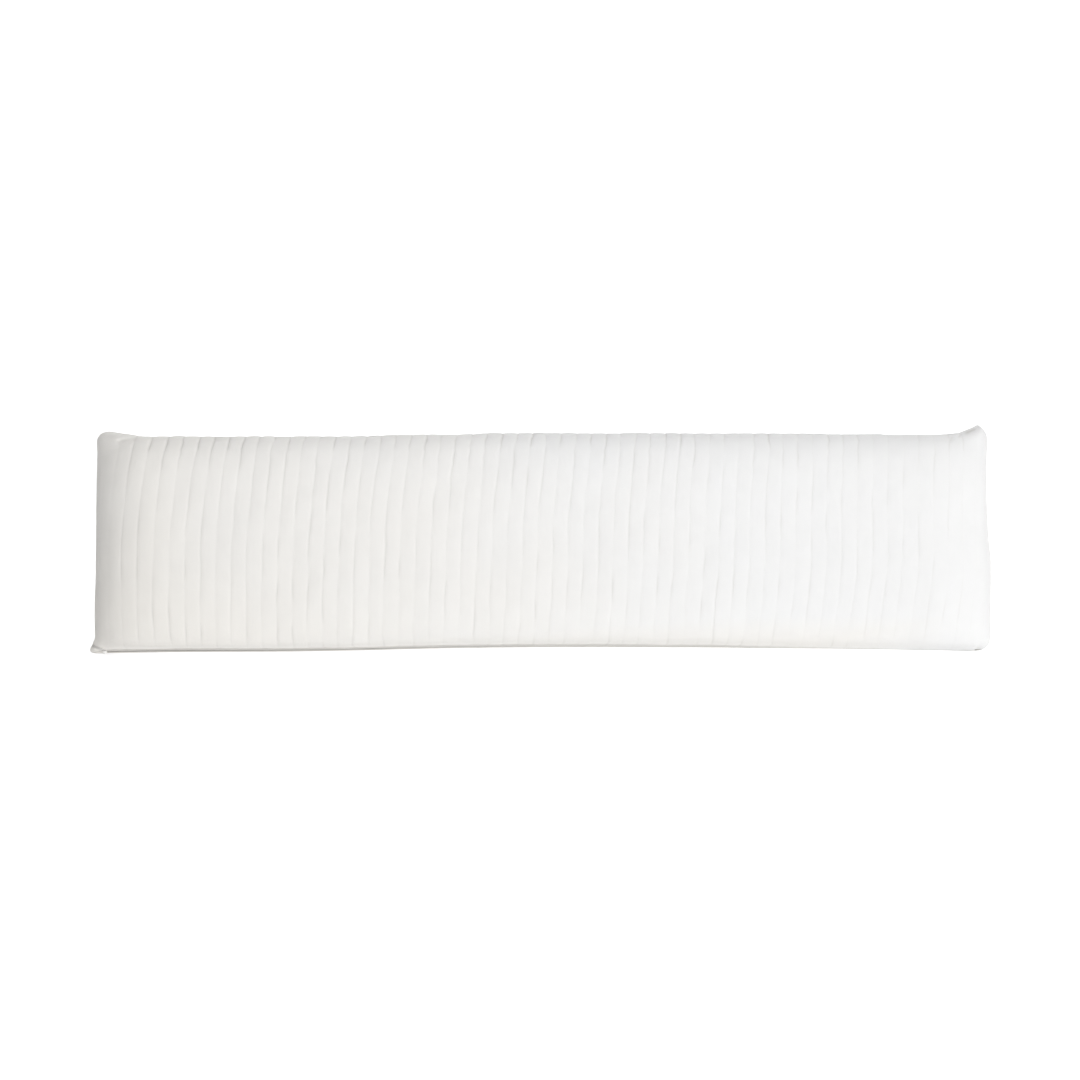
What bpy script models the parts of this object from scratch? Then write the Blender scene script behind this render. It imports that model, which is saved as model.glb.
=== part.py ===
"""Body pillow lying on its back: a quilted sleeve of cloth drawn over a long foam core.

The sleeve is sewn shut at both short ends, where its spare corners stand out as ears, and closes with
a zip sunk into the long -Y side. Every size is in metres. The pillow's length runs along X, its face
is up, and the origin is on the floor under the middle of its outline.
"""

from math import copysign, cos, exp, pi, sin

import bmesh
import bpy
from mathutils import Vector

# The filled pillow.
LENGTH = 1.3675  # end seam to end seam
WIDTH = 0.3308  # across the two ends
THICKNESS = 0.125  # floor to crown
SEAM_HEIGHT = 0.058  # end seams and zip above the floor
BOW = 0.0062  # the middle of the length stands this far towards +Y
END_RISE = 0.0030  # the +X end lies this much nearer to +Y than the -X end
DIP = 0.0034  # the outline sags this far towards -Y near the -X end
DIP_AT = -0.350
DIP_REACH = 0.190
WAIST = 0.0018  # each long side is drawn in this far at the middle
END_ROUNDING = 0.120  # reach of the rounding from each end seam
END_POWER = 2.5
SIDE_POWER = 3.8
FAR_SIDE_POWER = 4.8  # the +Y side turns over into the face more tightly
LENGTHWISE_FALL = 0.045  # share of the crown that is lost towards the ends
FLOOR_PRESS = 1.25  # how much fuller than its flat underside the lower half would hang
CORNER_RADIUS = 0.013
END_SEAM_THICKNESS = 0.0032
END_LEAN = 0.0023  # the +X end stands out this far more at its -Y corner
END_BULGE = 0.0042  # and it swells out here, a little to the -Y side of its middle
END_BULGE_AT = -0.25
END_BULGE_REACH = 0.33
END_SWELL_FROM = -0.1  # both of these set in here along the length

# The middle of the outline's box, ears and all, which is put over the origin.
BOX_MIDDLE = Vector((-0.0019, 0.0052, 0.0))

# The quilting: parallel stitch lines round the whole sleeve.
CHANNEL = 0.02295  # one stitch line to the next
MIDDLE_STITCH_X = -0.0077  # the stitch line nearest to the middle of the face
STRETCH_START = 0.0078  # the last lines of the -X end lie this much further out than even spacing
STRETCH_END = 0.0010  # and those of the +X end
STRETCH_FROM = 0.54  # the stretch sets in this far from the middle
STRETCH_REACH = 0.11
DRIFT = 0.0015  # the spacing swells and shrinks in one long wave, which moves a line this far at most
DRIFT_CREST = -0.107
DRIFT_LENGTH = 1.22
STITCH_DEPTH = 0.0012  # on the face and the back
SIDE_STITCH_DEPTH = 0.0006  # where the lines run over the long sides
COLUMNS_PER_CHANNEL = 3
CLOSEST_COLUMN = 0.4  # a column nearer to an end seam than this share of a step is left out
UPPER_LEAN_START = 0.0180  # how far the lines lean towards +X at the +Y side, at the -X end
UPPER_LEAN_END = 0.0093  # and at the +X end
LOWER_LEAN_START = -0.0018  # how far they lean towards -X at the -Y side, at the -X end
LOWER_LEAN_END = 0.0163  # and at the +X end
LEAN_POWER_START = 1.5  # how late that lean sets in, at the -X end
LEAN_POWER_END = 1.1  # and at the +X end
LEAN_FADE = 0.040  # the lines come upright over this length next to an end seam

# Points round the section: equal steps of angle, and four rows of their own at the zip.
STEPS_PER_HALF = 12
SHARP_ANGLE = 0.9  # edges sharper than this, in radians, stay sharp to the eye

# The zip and the slot that it lies in.
ZIP_START = -0.6660
ZIP_END = 0.661
SLOT_END = 0.679  # the slot runs on past the zip's +X end
SLOT_DEPTH = 0.0034
SLOT_HALF_HEIGHT = 0.0026
SLOT_BED_HALF_HEIGHT = 0.0022
SLOT_RUN_IN = 0.004
SLOT_AT_END_SEAM = 0.12  # share of the rows' height that is left at an end seam
# The zip shows below the upper lip, which lies this much further in than the lower one, and the side
# wall above it is drawn in as well: less and less towards the +X end, but again past the zip's end.
SET_IN = (
    {"x": -0.660, "lip": 0.0030, "wall": 0.0052},
    {"x": -0.200, "lip": 0.0024, "wall": 0.0048},
    {"x": 0.250, "lip": 0.0018, "wall": 0.0038},
    {"x": 0.420, "lip": 0.0, "wall": 0.0014},
    {"x": 0.655, "lip": -0.0003, "wall": 0.0012},
    {"x": 0.660, "lip": 0.0022, "wall": 0.0034},
)
SET_IN_RUN_IN = 0.022
WALL_TOP_FROM = 0.020  # the wall comes out again between these heights above the zip
WALL_TOP_TO = 0.050
ZIP_HALF_HEIGHT = 0.0018
ZIP_THICKNESS = 0.0017
CLEARANCE = 0.0003

# Pulls at the corners of the sleeve: ears that stand out, and corners that are fuller or flatter. For
# each: its end and side, how far in from the corner its root lies along X and Y, how far it is pulled,
# and how far along X and Y from the root the pull tells.
EARS = (
    {"end": 1, "side": 1, "in": (0.012, 0.0), "pull": (-0.0030, 0.0165, 0.006), "reach": (0.032, 0.034)},
    {"end": 1, "side": 1, "in": (0.0358, 0.0), "pull": (0.0, 0.0055, 0.002), "reach": (0.045, 0.030)},
    {"end": 1, "side": 1, "in": (0.0, 0.006), "pull": (0.0072, 0.0, 0.0), "reach": (0.040, 0.045)},
    {"end": 1, "side": -1, "in": (0.0, 0.0), "pull": (-0.0045, 0.0022, 0.0), "reach": (0.025, 0.018)},
    {"end": -1, "side": -1, "in": (0.004, 0.0), "pull": (-0.0150, -0.0010, -0.004), "reach": (0.026, 0.024)},
    {"end": -1, "side": 1, "in": (0.018, 0.0), "pull": (0.0010, 0.0100, 0.010), "reach": (0.062, 0.034)},
    {"end": -1, "side": 1, "in": (0.004, 0.004), "pull": (-0.0025, 0.0, 0.0), "reach": (0.030, 0.022)},
)
EAR_POWER = 1.2  # how quickly a pull fades with the distance from its root

ARC_SAMPLES = 400


def smooth(share):
    """0 to 1 with level ends, for a share that may lie outside them."""
    share = min(1.0, max(0.0, share))
    return share * share * (3 - 2 * share)


def signed_power(value, power):
    return copysign(abs(value) ** power, value)


def end_profile(from_end):
    """Share of the full height at a distance in from an end seam."""
    if from_end >= END_ROUNDING:
        return 1.0
    inward = 1 - max(0.0, from_end) / END_ROUNDING
    return (1 - inward**END_POWER) ** (1 / END_POWER)


def crown_height(x):
    """Height of the face above the seams at full roundness, along the middle of the pillow."""
    fall = LENGTHWISE_FALL * (2 * abs(x) / LENGTH) ** 4
    return (THICKNESS - SEAM_HEIGHT) * (1 - fall)


def meridian():
    """Points (cloth distance from the middle, x) along the middle of the face, out to the +X end seam."""
    face_end = LENGTH / 2 - END_ROUNDING
    points = [(0.0, 0.0)]
    last = Vector((0.0, crown_height(0.0)))
    for step in range(1, 2 * ARC_SAMPLES + 1):
        if step <= ARC_SAMPLES:
            x = face_end * step / ARC_SAMPLES
        else:
            turn = (step - ARC_SAMPLES) / ARC_SAMPLES * pi / 2
            x = face_end + END_ROUNDING * sin(turn) ** (2 / END_POWER)
        here = Vector((x, crown_height(x) * end_profile(LENGTH / 2 - x)))
        points.append((points[-1][0] + (here - last).length, x))
        last = here
    return points


MERIDIAN = meridian()
HALF_CLOTH = MERIDIAN[-1][0]


def x_of_cloth(distance):
    """The x that lies a distance along the cloth from the middle of the face."""
    reach = min(abs(distance), HALF_CLOTH)
    low, high = 0, len(MERIDIAN) - 1
    while high - low > 1:
        middle = (low + high) // 2
        if MERIDIAN[middle][0] <= reach:
            low = middle
        else:
            high = middle
    (cloth_a, x_a), (cloth_b, x_b) = MERIDIAN[low], MERIDIAN[high]
    return copysign(x_a + (x_b - x_a) * (reach - cloth_a) / (cloth_b - cloth_a), distance)


def middle_y(x):
    share = 2 * x / LENGTH
    dip = DIP * exp(-(((x - DIP_AT) / DIP_REACH) ** 2))
    return BOW * (0.5 - share**2) + END_RISE * share / 2 - dip


def half_width(x):
    """Half the outline's width: drawn in at the middle and rounded off at the corners."""
    width = WIDTH / 2 - WAIST * (1 - (2 * x / LENGTH) ** 2)
    from_end = LENGTH / 2 - abs(x)
    if from_end < CORNER_RADIUS:
        inward = 1 - max(0.0, from_end) / CORNER_RADIUS
        width -= CORNER_RADIUS * (1 - (1 - inward**2) ** 0.5)
    return width


def lean(cloth_x, across):
    """Shift along X of a stitch line, for across from -1 at the -Y side to 1 at the +Y side."""
    towards_end = (1 + cloth_x / HALF_CLOTH) / 2
    if across > 0:
        reach = UPPER_LEAN_START + (UPPER_LEAN_END - UPPER_LEAN_START) * towards_end
        shift = reach * across ** (LEAN_POWER_START + (LEAN_POWER_END - LEAN_POWER_START) * towards_end)
    else:
        shift = (LOWER_LEAN_START + (LOWER_LEAN_END - LOWER_LEAN_START) * towards_end) * across
    return shift * smooth((HALF_CLOTH - abs(cloth_x)) / LEAN_FADE)


def slot_share(x):
    """1 along the zip's slot and 0 beyond its ends."""
    return smooth((x - ZIP_START) / SLOT_RUN_IN + 1) * smooth((SLOT_END - x) / SLOT_RUN_IN + 1)


def set_in(x, name):
    """How far the upper lip or the wall lies in at a place along the pillow."""
    if x <= SET_IN[0]["x"]:
        return SET_IN[0][name]
    for low, high in zip(SET_IN, SET_IN[1:]):
        if x <= high["x"]:
            share = (x - low["x"]) / (high["x"] - low["x"])
            return low[name] + (high[name] - low[name]) * share
    return SET_IN[-1][name]


def wall_set_in(x, height):
    """How far the side wall above the zip is drawn in, at a height above the zip."""
    ends = smooth((LENGTH / 2 - abs(x)) / SET_IN_RUN_IN)
    up = 1 - smooth((height - WALL_TOP_FROM) / (WALL_TOP_TO - WALL_TOP_FROM))
    return set_in(x, "wall") * ends * up


def section_rows():
    """Rows round the section from the +Y side over the face: angles and, at the zip, insets and heights."""
    step = pi / STEPS_PER_HALF
    upper = [{"angle": step * i} for i in range(STEPS_PER_HALF)]
    zip_rows = [
        {"angle": pi, "up": SLOT_HALF_HEIGHT, "upper_lip": True},
        {"angle": pi, "up": SLOT_BED_HALF_HEIGHT, "inset": SLOT_DEPTH},
        {"angle": pi, "up": -SLOT_BED_HALF_HEIGHT, "inset": SLOT_DEPTH},
        {"angle": pi, "up": -SLOT_HALF_HEIGHT, "inset": 0.0},
    ]
    lower = [{"angle": pi + step * i} for i in range(1, STEPS_PER_HALF)]
    return upper + zip_rows + lower


def cloth_columns():
    """Cloth distances of the columns from end seam to end seam, and whether each is a stitch line."""
    step = CHANNEL / COLUMNS_PER_CHANNEL
    count = int(2 * HALF_CLOTH / step) + 2
    columns = [(-HALF_CLOTH, False)]
    for number in range(-count, count + 1):
        distance = MIDDLE_STITCH_X + number * step
        outward = STRETCH_START if distance < 0 else STRETCH_END
        stretch = outward * smooth((abs(distance) - STRETCH_FROM) / STRETCH_REACH)
        drift = DRIFT * cos(2 * pi * (distance - DRIFT_CREST) / DRIFT_LENGTH)
        distance += copysign(stretch, distance) + drift
        if abs(distance) < HALF_CLOTH - CLOSEST_COLUMN * step:
            columns.append((distance, number % COLUMNS_PER_CHANNEL == 0))
    columns.append((HALF_CLOTH, False))
    return columns


def ear_pull(place, ear):
    """How far a point of the cover is drawn towards the tip of a corner."""
    from_end, from_side = ear["in"]
    corner_x = ear["end"] * (LENGTH / 2 - from_end)
    corner_y = middle_y(corner_x) + ear["side"] * (WIDTH / 2 - from_side)
    reach_along, reach_across = ear["reach"]
    along = abs(place.x - corner_x) / reach_along
    across = abs(place.y - corner_y) / reach_across
    up = abs(place.z - SEAM_HEIGHT) / (THICKNESS / 2)
    share = max(0.0, 1 - (along**2 + across**2 + up**2) ** 0.5)
    return Vector(ear["pull"]) * share**EAR_POWER


def cover_point(cloth_x, row):
    """A point of the smooth, filled sleeve, before its stitch lines are drawn in."""
    angle = row["angle"]
    power = FAR_SIDE_POWER if cos(angle) > 0 else SIDE_POWER
    side = signed_power(cos(angle), 2 / power)
    # Shapes the lean so that it runs on round the back from one side to the other.
    across = cos(angle) if sin(angle) < 0 else side
    x = x_of_cloth(cloth_x + lean(cloth_x, across))
    share = end_profile(LENGTH / 2 - abs(x))
    y = middle_y(x) + half_width(x) * side
    lift = abs(sin(angle)) ** (2 / power)
    edge = END_SEAM_THICKNESS / 2
    if sin(angle) >= 0:
        z = SEAM_HEIGHT + (edge + (crown_height(x) - edge) * share) * lift
        if side < 0:
            y += wall_set_in(x, z - SEAM_HEIGHT)
    else:
        fall = (edge + (SEAM_HEIGHT - edge) * share) * min(1.0, FLOOR_PRESS * lift)
        z = SEAM_HEIGHT - (SEAM_HEIGHT if share * FLOOR_PRESS * lift > 1 else fall)
    if "up" in row:
        inset = set_in(x, "lip") if "upper_lip" in row else row["inset"]
        y = middle_y(x) - half_width(x) + inset * slot_share(x)
        z = SEAM_HEIGHT + row["up"] * min(1.0, share + SLOT_AT_END_SEAM)
    if x > 0:
        bulge = END_BULGE * exp(-(((across - END_BULGE_AT) / END_BULGE_REACH) ** 2))
        x += (bulge - END_LEAN * across) * smooth((x - END_SWELL_FROM) / (LENGTH / 2))
    place = Vector((x, y, z))
    for ear in EARS:
        place += ear_pull(place, ear)
    place.z = max(0.0, place.z)
    return place - BOX_MIDDLE


def material(name, colour, roughness):
    made = bpy.data.materials.new(name)
    made.use_nodes = True
    shader = made.node_tree.nodes["Principled BSDF"]
    shader.inputs["Base Color"].default_value = (*colour, 1.0)
    shader.inputs["Roughness"].default_value = roughness
    shader.inputs["Metallic"].default_value = 0.0
    return made


def add_object(name, shape, made_of):
    bmesh.ops.recalc_face_normals(shape, faces=shape.faces)
    mesh = bpy.data.meshes.new(name)
    shape.to_mesh(mesh)
    shape.free()
    mesh.materials.append(made_of)
    mesh.shade_smooth()
    mesh.set_sharp_from_angle(angle=SHARP_ANGLE)
    thing = bpy.data.objects.new(name, mesh)
    bpy.context.scene.collection.objects.link(thing)
    return thing


def loft(shape, rings):
    """Joins rings of vertices into a closed tube and closes its two flat ends with cross strips."""
    size = len(rings[0])
    for ring, following in zip(rings, rings[1:]):
        for i in range(size):
            j = (i + 1) % size
            shape.faces.new((ring[i], ring[j], following[j], following[i]))
    for ring in (rings[0], rings[-1]):
        low, high = 0, 1
        far = size - 1
        while high < far:
            corners = (ring[low], ring[high], ring[far]) if low == 0 else (
                ring[low], ring[high], ring[far], ring[far + 1])
            shape.faces.new(corners)
            low, high, far = high, high + 1, far - 1


def make_pillow():
    """The whole quilted sleeve with its core as one filled solid."""
    shape = bmesh.new()
    rows = section_rows()
    columns = cloth_columns()
    rings = [[shape.verts.new(cover_point(cloth_x, row)) for row in rows] for cloth_x, _ in columns]
    loft(shape, rings)
    bmesh.ops.recalc_face_normals(shape, faces=shape.faces)
    shape.normal_update()
    pulls = []
    for (_, stitched), ring in zip(columns, rings):
        for row, vert in zip(rows, ring):
            if stitched and "up" not in row:
                on_face = abs(sin(row["angle"]))
                depth = SIDE_STITCH_DEPTH + (STITCH_DEPTH - SIDE_STITCH_DEPTH) * on_face
                pulls.append((vert, vert.normal * -depth))
    for vert, pull in pulls:
        vert.co += pull
    return add_object("pillow", shape, material("quilted_knit", (0.82, 0.81, 0.79), 0.9))


def make_zip():
    """The closed coil zip, a slim strip along the bed of its slot."""
    shape = bmesh.new()
    inner = SLOT_DEPTH - CLEARANCE
    outer = inner - ZIP_THICKNESS
    profile = [
        {"angle": pi, "up": ZIP_HALF_HEIGHT, "inset": inner},
        {"angle": pi, "up": ZIP_HALF_HEIGHT, "inset": outer},
        {"angle": pi, "up": -ZIP_HALF_HEIGHT, "inset": outer},
        {"angle": pi, "up": -ZIP_HALF_HEIGHT, "inset": inner},
    ]
    rings = []
    for cloth_x, _ in cloth_columns():
        if ZIP_START <= x_of_cloth(cloth_x + lean(cloth_x, -1)) <= ZIP_END:
            rings.append([shape.verts.new(cover_point(cloth_x, row)) for row in profile])
    for ring, following in zip(rings, rings[1:]):
        for i in range(len(ring)):
            j = (i + 1) % len(ring)
            shape.faces.new((ring[i], ring[j], following[j], following[i]))
    shape.faces.new(rings[0])
    shape.faces.new(rings[-1])
    return add_object("zip_coil", shape, material("zip_nylon", (0.37, 0.35, 0.32), 0.5))


def main():
    for thing in list(bpy.data.objects):
        bpy.data.objects.remove(thing)
    make_pillow()
    make_zip()


main()
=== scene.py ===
from math import cos, pi, radians, sin

import bmesh
import bpy
import numpy as np
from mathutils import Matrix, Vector


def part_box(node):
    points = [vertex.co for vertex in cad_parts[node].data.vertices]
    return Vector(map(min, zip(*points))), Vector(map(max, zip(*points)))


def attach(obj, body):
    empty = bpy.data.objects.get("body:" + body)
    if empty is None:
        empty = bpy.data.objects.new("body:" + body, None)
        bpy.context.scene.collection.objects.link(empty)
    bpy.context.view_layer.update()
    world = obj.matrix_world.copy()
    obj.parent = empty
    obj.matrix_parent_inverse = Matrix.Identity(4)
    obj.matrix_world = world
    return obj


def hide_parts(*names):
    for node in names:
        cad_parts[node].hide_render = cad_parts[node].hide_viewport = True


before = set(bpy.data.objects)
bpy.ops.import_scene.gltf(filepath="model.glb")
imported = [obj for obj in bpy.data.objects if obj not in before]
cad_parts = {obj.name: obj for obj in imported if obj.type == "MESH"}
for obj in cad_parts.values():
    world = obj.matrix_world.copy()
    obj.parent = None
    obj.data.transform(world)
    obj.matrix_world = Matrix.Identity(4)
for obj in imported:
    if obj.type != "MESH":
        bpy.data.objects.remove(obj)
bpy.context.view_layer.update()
pillowLow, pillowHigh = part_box("pillow")
zipLow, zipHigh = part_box("zip_coil")
print("frame loaded: pillow from", list(pillowLow), "to", list(pillowHigh))

# The filled sleeve: lengths in metres, x along the pillow, y across it, z up from the floor.
sleeve = {
    "length": 1.3675,  # end seam to end seam
    "width": 0.3308,
    "thickness": pillowHigh[2] - pillowLow[2],
    "seamHeight": 0.058,
    "bow": 0.0062,
    "endRise": 0.0030,
    "dip": (-0.350, 0.0034, 0.190),  # towards the zip: where, how far, over what reach
    "waist": 0.0018,
    "endRounding": 0.120,
    "endPower": 2.5,
    "sidePower": 3.8,
    "farSidePower": 4.8,  # the +y side turns over into the face more tightly
    "lengthwiseFall": 0.045,
    "floorPress": 1.25,
    "cornerRadius": 0.013,
    "endSeamThickness": 0.0018,
    "endLean": 0.0023,
    "endBulge": (-0.25, 0.0042, 0.33),  # of the +x end: where across it, how far, over what reach
    "endSwellFrom": -0.1,  # the lean and the bulge set in here along x
    "boxMiddle": (-0.0019, 0.0052),  # the middle of the outline's box lies over the origin
}

# The stitch lines that run round it.
quilting = {
    "pitch": 0.02295,
    "middleLineAt": -0.0077,
    "endStretch": (0.0078, 0.0010),  # the last lines lie this much further out, at the -x end and the +x end
    "stretchFrom": (0.54, 0.11),  # from here on, over this reach
    "upperLean": (0.0180, 0.0093),  # towards +x at the far side, at the -x end and the +x end
    "lowerLean": (-0.0018, 0.0163),  # towards -x at the zip's side
    "leanPower": (1.5, 1.1),
    "drift": (0.0015, -0.107, 1.22),  # a long wave of the spacing: how far a line moves, its crest and length
    "leanFade": 0.040,
    "wander": 0.0011,  # how far a line strays to either side
    "jitter": 0.0003,
    "farJitter": 0.0011,
    "depth": 0.0002,  # from the crest of a channel to its stitches
    "endDepth": 0.00012,
    "notchDepth": 0.0008,  # where the lines turn over the far side
    "grooveDepth": 0.00042,  # the narrow dent right at the thread
    "grooveWidth": 0.0017,
    "puckerHeight": 0.00012,
    "puckerLength": 0.0085,
    "puckerReach": 0.0050,
    "columnPhases": (0.0, 0.036, 0.095, 0.21, 0.35, 0.5, 0.65, 0.79, 0.905, 0.964),
    "trueNear": (0.03, 0.02),  # lines don't stray within these cloth distances of an end seam and the zip
    "farSideFrom": (0.55, 0.30),  # share of the half width where a line strays more, and its reach
    "faceFrom": (0.050, 0.045),  # from an end seam, where the full sewing sets in, and its reach
    "puffVariation": 0.45,
    "puffPower": 2.3,
    "notchSide": (0.80, 0.13),  # shares of the half width and of the height where the notches set in
    "notchLift": (0.15, 0.3),
    "notchStrength": (0.75, 0.6),  # on average, and how far it varies
    "notchPlaces": (-0.62, -0.30, 0.55),  # along the cloth
    "notchShares": (1.0, 0.75, 0.35),
    "tightness": (0.55, 0.9),  # of the thread, on average, and how far it varies
    "notchTightness": 1.3,
    "tightnessLimits": (0.08, 2.2),
    "fadingPlaces": (-0.55, 0.36, 0.66),  # the sewing shows less towards the +x end
    "fadingShares": (0.72, 0.61, 0.40),
    "farSideGain": (0.14, 0.45, 0.30),  # it shows more at the far side: how much, from where, over what reach
    "endGrooveShare": 0.15,
    "swells": (0.0007, 0.0005),  # wide and small unevenness of the filling
    "sink": 0.0004,
    "drawnIn": (0.0016, 0.006),  # the end seams draw the cloth in: how far, over what reach
    "creaseShade": (0.5, 1.5),  # painted shade in the stitch grooves: how dark, and how fast it fades out of them
    # painted shade in the rows inside the zip's slot
    "slotShade": 0.4,
}

# Pulls at the corners: the end and side, how far in the root lies along x and y, the pull, and its reach.
ears = (
    {"end": 1, "side": 1, "in": (0.012, 0.0), "pull": (-0.0030, 0.0165, 0.006), "reach": (0.032, 0.034)},
    {"end": 1, "side": 1, "in": (0.0358, 0.0), "pull": (0.0, 0.0055, 0.002), "reach": (0.045, 0.030)},
    {"end": 1, "side": 1, "in": (0.0, 0.006), "pull": (0.0072, 0.0, 0.0), "reach": (0.040, 0.045)},
    {"end": 1, "side": -1, "in": (0.0, 0.0), "pull": (-0.0045, 0.0022, 0.0), "reach": (0.025, 0.018)},
    {"end": -1, "side": -1, "in": (0.004, 0.0), "pull": (-0.0150, -0.0010, -0.004), "reach": (0.026, 0.024)},
    {"end": -1, "side": 1, "in": (0.018, 0.0), "pull": (0.0010, 0.0100, 0.010), "reach": (0.062, 0.034)},
    {"end": -1, "side": 1, "in": (0.004, 0.004), "pull": (-0.0025, 0.0, 0.0), "reach": (0.030, 0.022)},
)

earPower = 1.2  # how fast a pull fades out

# Single creases by the corners, each a straight ridge or, below zero, a groove, as seen from above; the
# tight ones get painted shade inside.
folds = (
    {"from": (-0.6492, 0.1446), "to": (-0.6102, 0.1541), "height": -0.0024, "width": 0.0030, "shade": 0.15},
    {"from": (-0.6592, 0.1519), "to": (-0.6212, 0.1581), "height": 0.0008, "width": 0.0040, "shade": 0.0},
    {"from": (-0.7010, -0.1568), "to": (-0.6590, -0.1744), "height": -0.0030, "width": 0.0025, "shade": 2.2},
    {"from": (0.6720, 0.1800), "to": (0.6716, 0.1555), "height": 0.0024, "width": 0.0026, "shade": 0.0},
    {"from": (0.6338, 0.1500), "to": (0.6448, 0.1610), "height": -0.0016, "width": 0.0020, "shade": 0.5},
    {"from": (0.6198, 0.1430), "to": (0.6298, 0.1570), "height": -0.0010, "width": 0.0022, "shade": 0.3},
    {"from": (0.6440, 0.1575), "to": (0.6710, 0.1695), "height": -0.0014, "width": 0.0028, "shade": 0.9},
)

foldEnds = {
    "fade": 0.3,  # share of a crease's length over which each end fades out
    "above": (0.030, 0.015),  # creases set in at this height, over this reach
}

zipSlot = {
    "start": -0.6660,
    "end": 0.679,
    "runIn": 0.004,
    "depth": 0.0034,
    "leastShare": 0.02,  # of the slot's height that is left at the end seams
    "places": (-0.660, -0.200, 0.250, 0.420, 0.655, 0.660),  # of the two rows below, along x
    "lipSetback": (0.0030, 0.0024, 0.0018, 0.0000, -0.0003, 0.0022),  # the upper lip lies this far in
    "wallSetIn": (0.0052, 0.0048, 0.0038, 0.0014, 0.0012, 0.0034),  # and so is the side wall above it
    "endFade": 0.022,
    "wallTop": (0.020, 0.050),  # the wall comes out again between these heights above the zip
    "lipReach": (0.0030, 0.0028),  # cloth distance from the slot at which the lip ends, and its turn
    "seamDent": (0.0056, 0.0013, 0.0014),  # the seam between lip and wall: cloth distance, depth, half width
    "dentPlaces": (0.10, 0.45),  # along the cloth
    "dentShares": (1.0, 0.35),
    "sewingFrom": (0.0048, 0.010),  # cloth distance from the slot where the quilting sets in, and its reach
}


def smooth(share):
    share = np.clip(share, 0.0, 1.0)
    return share * share * (3 - 2 * share)


def signedPower(value, power):
    return np.sign(value) * np.abs(value) ** power


def endShare(fromEnd):
    # share of the full height at a distance in from an end seam
    inward = 1 - np.clip(fromEnd, 0.0, sleeve["endRounding"]) / sleeve["endRounding"]
    return (1 - inward ** sleeve["endPower"]) ** (1 / sleeve["endPower"])


def crownHeight(x):
    fall = sleeve["lengthwiseFall"] * (2 * np.abs(x) / sleeve["length"]) ** 4
    return (sleeve["thickness"] - sleeve["seamHeight"]) * (1 - fall)


def middleY(x):
    share = 2 * x / sleeve["length"]
    dipAt, dipDepth, dipReach = sleeve["dip"]
    dip = dipDepth * np.exp(-((x - dipAt) / dipReach) ** 2)
    return sleeve["bow"] * (0.5 - share ** 2) + sleeve["endRise"] * share / 2 - dip


def halfWidth(x):
    width = sleeve["width"] / 2 - sleeve["waist"] * (1 - (2 * x / sleeve["length"]) ** 2)
    radius = sleeve["cornerRadius"]
    inward = 1 - np.clip(sleeve["length"] / 2 - np.abs(x), 0.0, radius) / radius
    return width - radius * (1 - np.sqrt(1 - inward ** 2))


def measureMeridian():
    # cloth distance from the middle of the face, against x
    faceEnd = sleeve["length"] / 2 - sleeve["endRounding"]
    turn = np.linspace(0.0, pi / 2, 900)
    x = np.concatenate((np.linspace(0.0, faceEnd, 300)[:-1],
                        faceEnd + sleeve["endRounding"] * np.sin(turn) ** (2 / sleeve["endPower"])))
    z = crownHeight(x) * endShare(sleeve["length"] / 2 - x)
    distance = np.concatenate(([0.0], np.cumsum(np.hypot(np.diff(x), np.diff(z)))))
    return distance, x


meridianCloth, meridianX = measureMeridian()
halfCloth = meridianCloth[-1]


def xOfCloth(distance):
    return np.sign(distance) * np.interp(np.abs(distance), meridianCloth, meridianX)


def lineLean(cloth, across):
    ends = (-halfCloth, halfCloth)
    power = np.interp(cloth, ends, quilting["leanPower"])
    upper = np.interp(cloth, ends, quilting["upperLean"]) * np.clip(across, 0, 1) ** power
    lower = np.interp(cloth, ends, quilting["lowerLean"]) * np.clip(across, -1, 0)
    return (upper + lower) * smooth((halfCloth - np.abs(cloth)) / quilting["leanFade"])


def knotWeights(places, spacing):
    # weights that blend evenly spaced knots into the given places
    steps = (places - places.min()) / spacing
    knot = np.floor(steps).astype(int)
    weights = np.zeros((len(places), knot.max() + 2))
    share = smooth(steps - knot)
    weights[np.arange(len(places)), knot] = 1 - share
    weights[np.arange(len(places)), knot + 1] = share
    return weights


def unevenness(alongAt, aroundAt, alongCell, aroundCell, seed):
    # a smooth random field from -1 to 1 over the sleeve, the same on each run
    alongWeights = knotWeights(alongAt, alongCell)
    aroundWeights = knotWeights(aroundAt, aroundCell)
    knots = np.random.RandomState(seed).uniform(-1, 1, (alongWeights.shape[1], aroundWeights.shape[1]))
    return alongWeights @ knots @ aroundWeights.T


# Uneven fields: the size of their cells along the cloth and round it, and a seed.
unevenFields = {
    "lineWander": (quilting["pitch"], 0.038, 11),
    "broadWander": (0.16, 0.12, 12),
    "lineJitter": (quilting["pitch"], 0.010, 13),
    "puff": (quilting["pitch"], 0.045, 21),
    "tightness": (quilting["pitch"], 0.033, 22),
    "pucker": (quilting["pitch"], quilting["puckerLength"], 23),
    "wideSwell": (0.070, 0.055, 24),
    "smallSwell": (0.024, 0.030, 25),
    "notch": (quilting["pitch"], 0.011, 26),
    "held": (quilting["pitch"], 0.034, 31),
}


def uneven(name, clothAt, around):
    return unevenness(clothAt, around, *unevenFields[name])


rowSpacing = {
    "samples": 4001,
    "farTurn": (0.84, 0.055),  # rows lie closer here: share of the way over the face, and the reach
    "nearTurn": (0.02, 0.020),  # and here: cloth distance from the zip, and the reach
    "clearOfSlot": 0.0012,
}


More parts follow.
